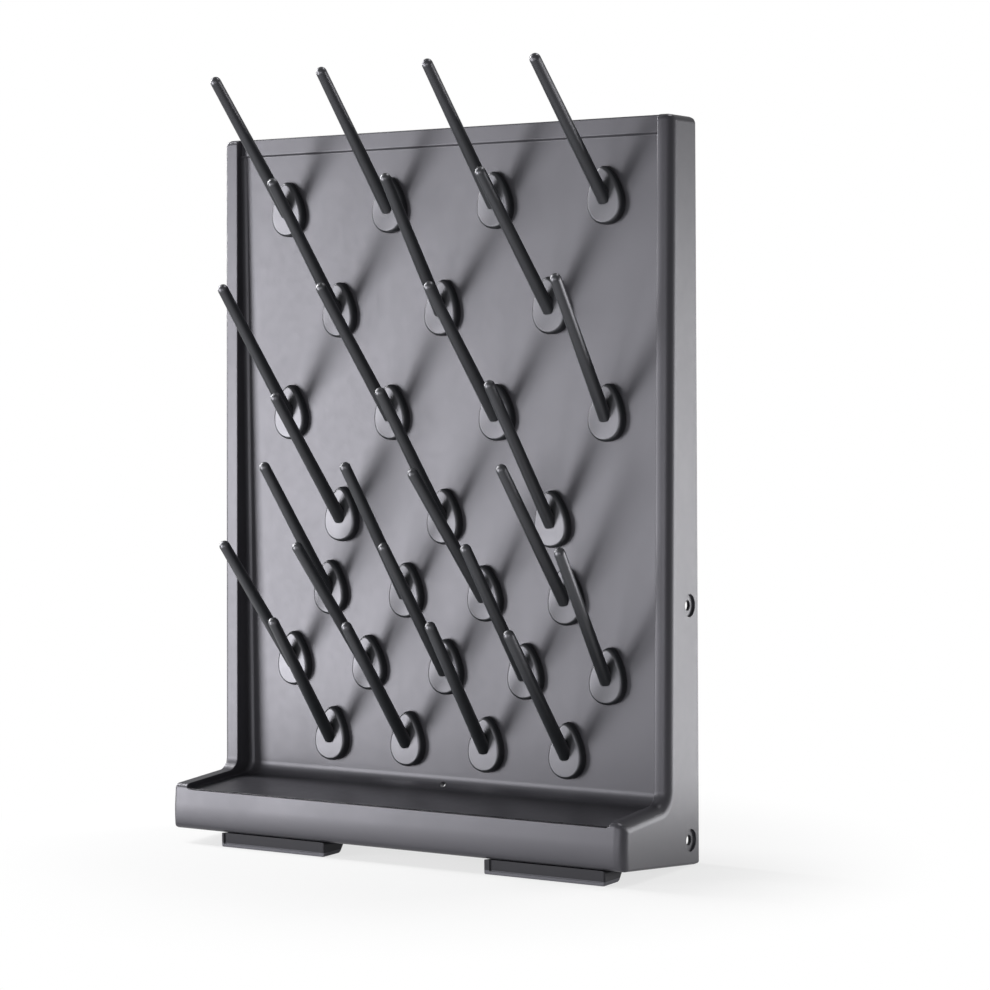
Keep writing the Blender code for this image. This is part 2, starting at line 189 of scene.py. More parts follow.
# How much rougher a spot is.
CLOUD_ROUGH = 0.10
MOTTLE_ROUGH = 0.06
SCUFF_ROUGH = 0.08
# How far a rounded edge turns, where it starts to look rubbed and where it is so in full.
RUBBED_TURN = (0.02, 0.30)
EDGE_SAMPLES = 6
MIDDLE = 0.5
REFRACTION = 1.49


class Wiring:
    """The nodes of one material or of the world."""

    def __init__(self, owner: Union[bpy.types.Material, bpy.types.World]) -> None:
        """Starts with an empty tree."""
        owner.use_nodes = True
        self.is_material = isinstance(owner, bpy.types.Material)
        self.tree = owner.node_tree
        self.tree.nodes.clear()

    def node(self, kind: str, settings: dict, inputs: dict, output: Union[int, str] = 0) -> Value:
        """Makes one node.

        Args:
            kind: The node's type.
            settings: Its own settings, which are set first.
            inputs: Numbers, colours or links for its sockets, by name or by place.
            output: The socket that is wanted.

        Returns:
            The value that comes out of that socket.
        """
        made = self.tree.nodes.new(kind)
        for name, setting in settings.items():
            setattr(made, name, setting)
        for name, given in inputs.items():
            if isinstance(given, Value):
                self.tree.links.new(given.socket, made.inputs[name])
            else:
                made.inputs[name].default_value = given
        return Value(self, made.outputs[output])

    def place(self) -> Value:
        """The point of the surface, in metres, in the rack's own frame."""
        return self.node("ShaderNodeTexCoord", {}, {}, "Object")

    def stretched(self, where: Value, scale: Triple) -> Value:
        """A point with each of its axes scaled."""
        return self.node("ShaderNodeMapping", {}, {"Vector": where, "Scale": scale})

    def noise(self, where: Value, pattern: Pattern) -> Value:
        """A cloudy pattern's own value, from 0 to 1."""
        inputs = {"Vector": where, "Scale": pattern.scale}
        inputs |= {"Detail": pattern.detail, "Roughness": pattern.roughness}
        return self.node("ShaderNodeTexNoise", {"noise_dimensions": "3D"}, inputs)

    def spots(self, where: Value, pattern: Pattern) -> Value:
        """How far a cloudy pattern's spots show, up to 1."""
        return self.noise(where, pattern).ramp(pattern.low, pattern.high, pattern.least)

    def bump(self, height: Value, depth: float, normal: Value) -> Value:
        """A normal bent by a height from 0 to 1, which is depth metres at its fullest."""
        inputs = {"Height": height, "Distance": depth, "Strength": 1.0, "Normal": normal}
        return self.node("ShaderNodeBump", {}, inputs)

    def finish(self, surface: Value) -> None:
        """Sends a shader to the output, as Surface."""
        kind = "ShaderNodeOutputMaterial" if self.is_material else "ShaderNodeOutputWorld"
        output = self.tree.nodes.new(kind)
        self.tree.links.new(surface.socket, output.inputs["Surface"])


def grey(level: float) -> tuple[float, float, float, float]:
    """A neutral grey."""
    return (level, level, level, 1.0)


@dataclass(frozen=True)
class MouldedPlastic:
    """An injection-moulded plastic: satin grain, faint flow clouds, scuffs, rubbed edges, and painted
    light along its bottom where asked.

    Attributes:
        name: The material's name.
        colour: The plastic's own colour.
        sheen_colour: The colour of what it mirrors straight on.
        roughness: The roughness of its clean skin.
        reflection: The specular level.
        grain: The depth of the fine texture, in metres.
        clouds: How much lighter and darker the flow clouds are, as a share of the colour.
        wear: How much lighter the rubbed edges are, as a share of the colour.
        ripple: The depth of the slow waves in its skin, in metres.
        painted_light_below: The height up to which it is painted paler, as painted light along its
            bottom next to the floor.
        edge: The radius that sharp edges are seen with, in metres.
    """

    name: str
    colour: Triple
    sheen_colour: Triple = (0.925, 0.91, 1.0)
    roughness: float = 0.39
    reflection: float = 0.5
    grain: float = 0.00002
    clouds: float = 0.06
    wear: float = 0.25
    ripple: float = 0.00003
    painted_light_below: float = 0.0
    edge: float = 0.0005

    @staticmethod
    def rubbed(wiring: Wiring, where: Value, rounded: Value) -> Value:
        """How far a place is rubbed, which is along sharp edges and with breaks.

        Args:
            wiring: The material's nodes.
            where: The place.
            rounded: The normal with its sharp edges rounded.

        Returns:
            The share, from 0 to 1.
        """
        plain = wiring.node("ShaderNodeNewGeometry", {}, {}, "Normal")
        settings = {"operation": "DOT_PRODUCT"}
        turn = wiring.node("ShaderNodeVectorMath", settings, {0: rounded, 1: plain}, 1)
        return (1 - turn).ramp(*RUBBED_TURN) * wiring.spots(where, EDGE_BREAKS)

    def make(self) -> bpy.types.Material:
        """Builds the material.

        Returns:
            The finished material.
        """
        made = bpy.data.materials.new(self.name)
        wiring = Wiring(made)
        where = wiring.place()
        cloud = wiring.noise(wiring.stretched(where, CLOUD_FLOW), FLOW_CLOUDS) - MIDDLE
        mottle = wiring.noise(where, MOTTLE) - MIDDLE
        lines = wiring.spots(wiring.stretched(where, SCUFF_STRETCH), SCUFF_LINES)
        scuffs = lines * wiring.spots(where, SCUFFED_PATCHES)
        settings, inputs = {"samples": EDGE_SAMPLES}, {"Radius": self.edge}
        rounded = wiring.node("ShaderNodeBevel", settings, inputs)
        lightness = 1 + cloud * (2 * self.clouds) + mottle * (self.clouds * MOTTLE_LIGHT)
        lightness = lightness + self.rubbed(wiring, where, rounded) * self.wear
        lightness = lightness + scuffs * SCUFF_LIGHT
        # Painted light: the plastic is painted paler along its bottom, next to the floor.
        if self.painted_light_below:
            height = wiring.node("ShaderNodeSeparateXYZ", {}, {"Vector": where}, "Z")
            above = height.ramp(self.painted_light_below * BOTTOM_LIGHT_FADE, self.painted_light_below)
            lightness = lightness + (1 - above) * BOTTOM_LIGHT_PAINT
        settings, inputs = {"operation": "SCALE"}, {0: self.colour, "Scale": lightness}
        shade = wiring.node("ShaderNodeVectorMath", settings, inputs)
        rough = self.roughness + cloud * CLOUD_ROUGH + mottle * MOTTLE_ROUGH
        rough = rough + scuffs * SCUFF_ROUGH
        grained = wiring.bump(wiring.noise(where, FINE_GRAIN), self.grain, rounded)
        normal = wiring.bump(wiring.noise(where, SLOW_WAVES), self.ripple, grained)
        shader = wiring.node(
            "ShaderNodeBsdfPrincipled",
            {},
            {
                "Base Color": shade,
                "Roughness": rough.clamped(),
                "Specular IOR Level": self.reflection,
                "Specular Tint": (*self.sheen_colour, 1.0),
                "IOR": REFRACTION,
                "Normal": normal,
            },
        )
        wiring.finish(shader)
        return made


BOARD_PLASTIC = MouldedPlastic("board_plastic", (0.030, 0.0295, 0.034))
PEG_PLASTIC = MouldedPlastic(
    "peg_plastic",
    (0.006, 0.0075, 0.008),
    roughness=0.42,
    reflection=0.95,
    clouds=0.04,
    wear=0.6,
    grain=0.000004,
    ripple=0.000004,
    edge=0.0001,
)
# The feet carry painted light along their bottom edge.
FOOT_PLASTIC = MouldedPlastic(
    "foot_plastic", (0.016, 0.016, 0.018), roughness=0.6, reflection=0.28, painted_light_below=0.0034
)


@dataclass
class Corner:
    """A corner of a side outline, in depth from the panel and height.

    Attributes:
        y: The depth, where the front is negative.
        z: The height.
        radius: The radius of the outline's own arc there.
    """

    y: float
    z: float
    radius: float = 0.0


def moved_in(corners: list[Corner], inset: float) -> list[Corner]:
    """An outline with every side moved in by an amount, or out where it is negative.

    Args:
        corners: The outline, counter-clockwise.
        inset: How far its sides move in.

    Returns:
        The new outline.
    """
    places = [Vector((corner.y, corner.z)) for corner in corners]
    found = []
    for index, corner in enumerate(corners):
        before = (places[index] - places[index - 1]).normalized()
        after = (places[(index + 1) % len(places)] - places[index]).normalized()
        first = Vector((before.y, -before.x))
        last = Vector((after.y, -after.x))
        place = places[index] - (first + last) / (1 + first.dot(last)) * inset
        turn = before.x * after.y - before.y * after.x
        radius = max(corner.radius - math.copysign(inset, turn), 0.0) if corner.radius else 0.0
        found.append(Corner(place.x, place.y, radius))
    return found


# The angle below which an edge isn't rounded, and the one above which its shading is sharp.
FLAT_ANGLE = math.radians(20)
SHARP_ANGLE = math.radians(32)


def clear() -> None:
    """Leaves edit mode and deselects every object."""
    if bpy.context.mode != "OBJECT":
        bpy.ops.object.mode_set(mode="OBJECT")
    bpy.ops.object.select_all(action="DESELECT")


def take(obj: Solid) -> None:
    """Makes one object the only selected one, and the active one."""
    clear()
    obj.select_set(True)
    bpy.context.view_layer.objects.active = obj


@contextmanager
def editing(obj: Solid, kind: str = "FACE") -> Iterator[None]:
    """Opens an object in edit mode with nothing selected.

    Args:
        obj: The object to open.
        kind: VERT, EDGE or FACE, which selections then name.
    """
    take(obj)
    bpy.ops.object.mode_set(mode="EDIT")
    bpy.ops.mesh.select_mode(type=kind)
    bpy.ops.mesh.select_all(action="DESELECT")
    yield
    bpy.ops.object.mode_set(mode="OBJECT")


def pick(kind: str, wanted: Callable) -> int:
    """Selects what passes a test in the mesh that is open in edit mode, and nothing else.

    Args:
        kind: "verts", "edges" or "faces".
        wanted: The test, which is given each element.

    Returns:
        How many elements were selected.
    """
    bpy.ops.mesh.select_all(action="DESELECT")
    mesh = bpy.context.edit_object.data
    shape = bmesh.from_edit_mesh(mesh)
    chosen = [element for element in getattr(shape, kind) if wanted(element)]
    for element in chosen:
        element.select_set(True)
    shape.select_flush_mode()
    bmesh.update_edit_mesh(mesh)
    return len(chosen)


def named(name: str) -> Solid:
    """Names the primitive that was just added, and works its place and turn into its mesh."""
    made = bpy.context.active_object
    take(made)
    bpy.ops.object.transform_apply(location=True, rotation=True, scale=True)
    made.name = name
    made.data.name = name
    return made


def disc(name: str, sides: int, turn: Triple) -> Solid:
    """Adds a flat disc of radius 1 with many sides, turned from lying down."""
    clear()
    bpy.ops.mesh.primitive_circle_add(vertices=sides, radius=1, fill_type="NGON", rotation=turn)
    return named(name)


def block(name: str, middle: Triple, size: Triple) -> Solid:
    """Adds a block."""
    clear()
    bpy.ops.mesh.primitive_cube_add(size=1, location=middle, scale=size)
    return named(name)


def cylinder(
    name: str,
    radius: float,
    start: Vector,
    end: Vector,
    sides: int,
    end_radius: Union[float, None] = None,
) -> Solid:
    """Adds a cylinder, or a cone with its point cut off, between two places.

    Args:
        name: The new object's name.
        radius: Its radius at the start.
        start: The middle of its first end.
        end: The middle of its other end.
        sides: How many sides it has.
        end_radius: Its radius at the other end, if that isn't the same.

    Returns:
        The new object.
    """
    clear()
    axis = end - start
    bpy.ops.mesh.primitive_cone_add(
        vertices=sides,
        radius1=radius,
        radius2=radius if end_radius is None else end_radius,
        depth=axis.length,
        end_fill_type="NGON",
        location=(start + end) / 2,
        rotation=axis.to_track_quat("Z", "Y").to_euler(),
    )
    return named(name)


def prism(name: str, corners: list[Corner], half_width: float) -> Solid:
    """Draws a side outline out across the rack, with the outline's own arcs.

    Args:
        name: The new object's name.
        corners: The outline, counter-clockwise.
        half_width: How far it reaches to each side.

    Returns:
        The solid, with sharp side edges.
    """
    made = disc(name, len(corners), (0, math.radians(90), 0))
    places = [Vector((-half_width, corner.y, corner.z)) for corner in corners]
    with editing(made, "VERT"):
        starts = [vertex.co.copy() for vertex in made.data.vertices]
        for index, (start, place) in enumerate(zip(starts, places)):
            pick("verts", lambda vertex: vertex.index == index)
            bpy.ops.transform.translate(value=place - start)
        for index, (corner, place) in enumerate(zip(corners, places)):
            if not corner.radius:
                continue
            before = places[index - 1] - place
            after = places[(index + 1) % len(places)] - place
            length = corner.radius / math.tan(before.angle(after) / 2)
            pick("verts", lambda vertex: (vertex.co - place).length < TOUCHING)
            bevel(length, ARC_STEPS, "VERTICES")
        raise_solid((2 * half_width, 0, 0))
    return made


def draw_out(way: Triple) -> None:
    """Draws the faces that are selected in edit mode out into a new stretch."""
    bpy.ops.mesh.extrude_region_move(TRANSFORM_OT_translate={"value": way})


def raise_solid(way: Triple) -> None:
    """Makes a solid of the flat face that is open in edit mode."""
    bpy.ops.mesh.select_all(action="SELECT")
    draw_out(way)
    bpy.ops.mesh.select_all(action="SELECT")
    bpy.ops.mesh.normals_make_consistent(inside=False)


def bevel(offset: float, steps: int, affect: str = "EDGES") -> None:
    """Rounds the edges or corners that are selected in edit mode."""
    bpy.ops.mesh.bevel(offset=offset, segments=steps, profile=0.5, affect=affect)


def round_edges(obj: Solid, rounding: Callable[[Vector, bool], float], steps: int = 6) -> None:
    """Rounds the edges of a solid, each by its own amount, in one Bevel modifier.

    Args:
        obj: The solid.
        rounding: Gives an edge's rounding from its middle and whether it runs across the rack.
        steps: The facets of each rounding.
    """
    take(obj)
    mesh = obj.data
    normals = {}
    for face in mesh.polygons:
        for key in face.edge_keys:
            normals.setdefault(key, []).append(face.normal.copy())
    amounts = []
    for edge in mesh.edges:
        one, other = (mesh.vertices[index].co for index in edge.vertices)
        across = abs(one.x - other.x) > TOUCHING
        sides = normals[tuple(sorted(edge.vertices))]
        flat = len(sides) == 2 and sides[0].angle(sides[1]) < FLAT_ANGLE
        amounts.append(0.0 if flat else rounding((one + other) / 2, across))
    widest = max(amounts)
    weights = mesh.attributes.new("bevel_weight_edge", "FLOAT", "EDGE")
    weights.data.foreach_set("value", [amount / widest for amount in amounts])
    modifier = obj.modifiers.new("rounding", "BEVEL")
    modifier.limit_method = "WEIGHT"
    modifier.offset_type = "OFFSET"
    modifier.width = widest
    modifier.segments = steps
    modifier.use_clamp_overlap = False
    bpy.ops.object.modifier_apply(modifier=modifier.name)


def move(obj: Solid, way: Vector) -> None:
    """Moves an object's whole mesh, and leaves its origin where it is."""
    with editing(obj):
        bpy.ops.mesh.select_all(action="SELECT")
        bpy.ops.transform.translate(value=way)


def swing(degrees: float, axis: str, centre: Vector) -> None:
    """Turns what is selected in edit mode about an axis through a point, right-handed."""
    if degrees:
        bpy.ops.transform.rotate(
            value=-math.radians(degrees), orient_axis=axis, center_override=centre
        )


def joined(objects: list[Solid]) -> Solid:
    """Makes one object of several that don't touch."""
    take(objects[0])
    for obj in objects[1:]:
        obj.select_set(True)
    bpy.ops.object.join()
    return objects[0]


def combine(obj: Solid, tool: Solid, join: Join) -> None:
    """Adds or cuts a solid with another, which is used up.

    Args:
        obj: The solid that changes.
        tool: The solid that is used on it.
        join: What the tool does.
    """
    take(obj)
    modifier = obj.modifiers.new(tool.name, "BOOLEAN")
    modifier.operation = join.value
    modifier.solver = "EXACT"
    modifier.object = tool
    bpy.ops.object.modifier_apply(modifier=modifier.name)
    bpy.data.objects.remove(tool)


def smooth(obj: Solid) -> None:
    """Shades a finished solid's round stretches smooth and keeps its flat faces flat."""
    take(obj)
    bpy.ops.object.shade_smooth_by_angle(angle=SHARP_ANGLE)
    modifier = obj.modifiers.new("flat_faces", "WEIGHTED_NORMAL")
    modifier.keep_sharp = True
    modifier.weight = 100
    bpy.ops.object.modifier_apply(modifier=modifier.name)


def copy(obj: Solid, name: str) -> Solid:
    """Copies an object, with a mesh of its own."""
    take(obj)
    bpy.ops.object.duplicate(linked=False)
    made = bpy.context.active_object
    made.name = name
    made.data.name = name
    return made


def is_end(face: bmesh.types.BMFace) -> bool:
    """Whether a face is the many-sided end of a round piece."""
    return len(face.verts) > 4


def ends_of(mesh: bpy.types.Mesh) -> list[Vector]:
    """The two corners of a mesh's box."""
    axes = list(zip(*(vertex.co for vertex in mesh.vertices)))
    return [Vector([limit(axis) for axis in axes]) for limit in (min, max)]


def dressed(piece: Solid, material: bpy.types.Material, node: str) -> None:
    """Gives a finished piece its material, and lets it stand for its CAD node.

    Args:
        piece: The finished piece.
        material: Its plastic.
        node: The CAD node that it stands for.
    """
    piece.data.materials.clear()
    piece.data.materials.append(material)
    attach(piece, BODY)
    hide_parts(node)
    pairs = zip(ends_of(piece.data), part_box(node))
    drift = max(abs(value) for fine, solid in pairs for value in fine - solid)
    faces = len(piece.data.polygons)
    log.info("%s: %d faces, ends within %.2f mm of the solid", piece.name, faces, drift * 1000)


@dataclass
class BackBoard:
    """The one-piece board: panel, cheeks, lip and drip tray, open behind."""

    panel_place: float
    peg_places: list["PegPlace"]
    stud_places: list[Vector]
    width: float = 0.400
    height: float = 0.550
    shell_depth: float = 0.030
    tray_depth: float = 0.087
    cheek_thickness: float = 0.0119
    cheek_top_proud: float = 0.0078
    cheek_foot_proud: float = 0.0185
    lip_height: float = 0.0125
    lip_proud: float = 0.0014
    lip_slope: float = 0.0016
    lip_bend: float = 0.0008
    lip_rounding: float = 0.003
    rim_back_height: float = 0.050
    rim_front_height: float = 0.046
    rim_fillet: float = 0.010
    tray_top_setback: float = 0.0021
    bulge_height: float = 0.024
    bulge_radius: float = 0.09
    bulge_undercut: float = 0.0007
    front_wall_height: float = 0.0422
    front_land: float = 0.003
    floor_drop: float = 0.001
    floor_back_height: float = 0.045
    floor_fillet: float = 0.0105
    underside_front_height: float = 0.0113
    heel_depth: float = 0.006
    cheek_rounding: float = 0.0088
    left_cheek_rounding: float = 0.0025
    top_rounding: float = 0.005
    across_rounding: float = 0.004
    back_across_rounding: float = 0.0015
    back_rounding: float = 0.001
    foot_rounding: float = 0.002
    floor_rounding: float = 0.002
    rim_rounding: float = 0.0004
    inner_rounding: float = 0.0008
    recess_rounding: float = 0.0045
    side_hole_depth: float = 0.0165
    side_hole_heights: tuple[float, float] = (0.019, 0.1925)
    side_hole_radius: float = 0.0039
    side_step_radius: float = 0.0084
    side_step_depth: float = 0.0018
    side_cup_wall: float = 0.0025
    drain_radius: float = 0.0025
    drain_place: tuple[float, float] = (-0.004, 0.0465)
    drain_pitch: float = math.radians(35)
    peg_hole_radius: float = 0.0063
    stud_hole_radius: float = 0.0043
    hole_sides: int = 48
    small_hole_sides: int = 32
    node: str = "rack_body"

    @property
    def inner_half_width(self) -> float:
        """Half the width between the cheeks."""
        return self.width / 2 - self.cheek_thickness

    def outside(self, back: float) -> list[Corner]:
        """The side outline of the whole board, for a back plane at a given depth."""
        return [
            Corner(back, 0),
            Corner(back, self.height),
            Corner(-self.cheek_top_proud, self.height),
            Corner(-self.cheek_foot_proud, self.rim_back_height, self.rim_fillet),
            Corner(self.tray_top_setback - self.tray_depth, self.rim_front_height),
            Corner(-self.tray_depth, self.bulge_height, self.bulge_radius),
            Corner(self.bulge_undercut - self.tray_depth, self.underside_front_height),
            Corner(self.shell_depth - self.heel_depth, 0),
        ]

    def recess(self) -> list[Corner]:
        """The side outline of the open space in front of the panel and over the tray's floor."""
        top = self.height + OVERCUT
        front = -self.tray_depth - OVERCUT
        lip_foot = self.height - self.lip_height
        land_back = self.front_land - self.tray_depth + self.tray_top_setback
        return [
            Corner(0, self.floor_back_height, self.floor_fillet),
            Corner(0, lip_foot - self.lip_slope, self.lip_bend),
            Corner(-self.lip_proud, lip_foot, self.lip_bend),
            Corner(-self.lip_proud, top),
            Corner(front, top),
            Corner(front, self.front_wall_height),
            Corner(land_back, self.front_wall_height),
            Corner(land_back + self.floor_drop, self.front_wall_height - self.floor_drop),
        ]

    def outer_rounding_of(self, middle: Vector, across: bool) -> float:
        """How far an edge of the outer form is rounded.

        The right cheek's front edge is rounder than the left one's, as in the photo.

        Args:
            middle: The edge's middle, in depth from the panel.
            across: Whether the edge runs from side to side.

        Returns:
            The rounding, in metres.
        """
        at_back = middle.y > self.shell_depth - TOUCHING
        at_top = middle.z > self.height - TOUCHING
        at_front = middle.y < 2 * self.tray_top_setback - self.tray_depth
        if across and (at_top or at_front):
            return self.across_rounding
        if across:
            return self.back_across_rounding if at_back else 0.0
        if at_back:
            return self.back_rounding
        if at_top:
            return self.top_rounding
        if middle.z < self.underside_front_height:
            return self.foot_rounding
        return self.cheek_rounding if middle.x > 0 else self.left_cheek_rounding

    def recess_rounding_of(self, middle: Vector, across: bool) -> float:
        """How far an edge of the recess is rounded: less along the floor than beside the panel."""
        if across:
            return 0.0
        if middle.z > self.floor_back_height + self.floor_fillet or middle.y > -TOUCHING:
            beside_panel = middle.z < self.height and middle.y > -2 * self.lip_proud
            return self.recess_rounding if beside_panel else 0.0
        share = max(0.0, 1 + middle.y / self.floor_fillet)
        return self.floor_rounding + (self.recess_rounding - self.floor_rounding) * share

    def shell(self) -> Solid:
        """Models the outer form, less the recess before it and the hollow behind it.

        Returns:
            The hollow board, without its holes.
        """
        board = prism("back_board", self.outside(self.shell_depth), self.width / 2)
        round_edges(board, self.outer_rounding_of)
        beyond = moved_in(self.outside(self.shell_depth + OVERCUT), WALL)
        hollow = prism("hollow", beyond, self.width / 2 - WALL)
        grown = moved_in(self.recess(), -WALL)
        wall = prism("recess_wall", grown, self.inner_half_width + WALL)
        combine(hollow, wall, Join.CUT)
        recess = prism("recess", self.recess(), self.inner_half_width)
        round_edges(recess, self.recess_rounding_of)
        combine(board, recess, Join.CUT)
        self.soften(board)
        combine(board, hollow, Join.CUT)
        return board

    def soften(self, board: Solid) -> None:
        """Softens the edges of the tray's front rim, of the lip's top and inside the cheeks.

        Args:
            board: The board, with its recess and no holes yet.
        """
        face = self.tray_top_setback - self.tray_depth

        def on_rim(edge: bmesh.types.BMEdge) -> bool:
            """Whether an edge lies on the front wall's top front edge."""
            return all(
                abs(vertex.co.z - self.front_wall_height) < NEAR
                and abs(vertex.co.y - face) < 5 * NEAR
                for vertex in edge.verts
            )

        def on_lip(edge: bmesh.types.BMEdge) -> bool:
            """Whether an edge is the lip's top front edge."""
            return all(
                abs(vertex.co.z - self.height) < TOUCHING
                and abs(vertex.co.y + self.lip_proud) < TOUCHING
                for vertex in edge.verts
            )

        def inside_cheek(edge: bmesh.types.BMEdge) -> bool:
            """Whether an edge is a sharp outward one in the plane of a cheek's inner wall."""
            away = [abs(vertex.co.x) - self.inner_half_width for vertex in edge.verts]
            in_plane = all(abs(distance) < TOUCHING for distance in away)
            return in_plane and edge.is_convex and edge.calc_face_angle(0.0) > math.radians(60)

        for wanted, rounding, steps in (
            (on_rim, self.rim_rounding, 3),
            (on_lip, self.lip_rounding, 4),
            (inside_cheek, self.inner_rounding, 3),
        ):
            with editing(board, "EDGE"):
                picked = pick("edges", wanted)
                bevel(rounding, steps)
            log.info("board: %d edges rounded by %.1f mm", picked, rounding * 1000)

    def side_holes(self, board: Solid) -> None:
        """Puts a cup behind each side wall, with a stepped hole through it."""
        cup_depth = self.side_step_depth + self.side_cup_wall
        cup_radius = self.side_step_radius + self.side_cup_wall
        for side in (-1, 1):
            for height in self.side_hole_heights:
                face = Vector((side * self.width / 2, self.side_hole_depth, height))
                inwards = Vector((-side, 0, 0))
                for radius, start, end, join in (
                    (cup_radius, WALL / 2, cup_depth, Join.ADD),
                    (self.side_step_radius, -OVERCUT, self.side_step_depth, Join.CUT),
                    (self.side_hole_radius, -OVERCUT, cup_depth + OVERCUT / 4, Join.CUT),
                ):
                    ends = (face + inwards * start, face + inwards * end)
                    combine(board, cylinder("bore", radius, *ends, self.hole_sides), join)

    def small_holes(self, board: Solid) -> None:
        """Drills the drain hole, the pegs' holes and the holes for the feet's studs."""
        slant = Vector((0, math.cos(self.drain_pitch), -math.sin(self.drain_pitch)))
        drain = Vector((self.drain_place[0], 0, self.drain_place[1]))
        through, upright = Vector((0, 2 * WALL, 0)), Vector((0, 0, 2 * WALL))
        holes = [(drain, slant * 2 * self.floor_fillet, self.drain_radius, self.small_hole_sides)]
        for place in self.peg_places:
            middle = Vector((place.x, 0, place.height))
            holes.append((middle, through, self.peg_hole_radius, self.hole_sides))
        for place in self.stud_places:
            holes.append((place, upright, self.stud_hole_radius, self.small_hole_sides))
        tools = [
            cylinder("small_hole", radius, middle - reach, middle + reach, sides)
            for middle, reach, radius, sides in holes
        ]
        combine(board, joined(tools), Join.CUT)

    def build(self, material: bpy.types.Material) -> None:
        """Models and dresses the board.

        Args:
            material: Its plastic.
        """
        board = self.shell()
        self.side_holes(board)
        self.small_holes(board)
        move(board, Vector((0, self.panel_place, 0)))
        smooth(board)
        dressed(board, material, self.node)


@dataclass(frozen=True)
class PegPlace:
    """Where one peg goes, how far it is turned there, and how far its rod has set upwards.

    Attributes:
        node: The CAD node that it stands for.
        x: Its place across the board.
        height: Its height.
        turn: Its turn in the hole, in degrees towards +X.
        lift: The set of its rod, in degrees.
    """

    node: str
    x: float
    height: float
    turn: float
    lift: float


@dataclass(frozen=True)
class PegField:
    """The rows of pegs: four wide ones above three close ones."""

    top_row: float = 0.4935
    bottom_row: float = 0.0816
    panel_width: float = 0.3762
    upper_step_share: float = 0.1933
    upper_pitch_share: float = 0.2525
    lower_pitch_share: float = 0.1887
    upper_turns: tuple = ((-1.5, -0.5, -1.5, -3.5), (1, 5, -3.5), (0, -2, -1, 4), (2, 0, -2.5))
    lower_turns: tuple = ((-0.5, 1, -4, -2.5), (-1, -3, 0.5, 0.5, 5), (4.5, 2.5, 3, 2))
    upper_lifts: tuple = ((-1.5, -0.5, -0.5, -2), (-1, -1, -0.5), (0, -0.5, -1.5, 1), (-2, 0.5, 4))
    lower_lifts: tuple = ((1.5, 2, -0.5, 2), (-0.5, 0, 1, 1.5, 1.5), (0, -0.5, 1.5, -0.5))

    def places(self) -> list[PegPlace]:
        """Works out the place of every peg.

        Returns:
            The places, row by row from the top left.
        """
        span = self.top_row - self.bottom_row
        upper_step = span * self.upper_step_share
        upper_rows = len(self.upper_turns)
        lower_step = (span - upper_step * (upper_rows - 1)) / len(self.lower_turns)
        found = []
        height = self.top_row
        rows = zip(self.upper_turns + self.lower_turns, self.upper_lifts + self.lower_lifts)
        for row, (turns, lifts) in enumerate(rows, 1):
            share = self.upper_pitch_share if row <= upper_rows else self.lower_pitch_share
            for column, (turn, lift) in enumerate(zip(turns, lifts), 1):
                x = (column - (len(turns) + 1) / 2) * self.panel_width * share
                found.append(PegPlace(f"peg_{row}_{column}", x, height, turn, lift))
            height -= upper_step if row < upper_rows else lower_step
        return found


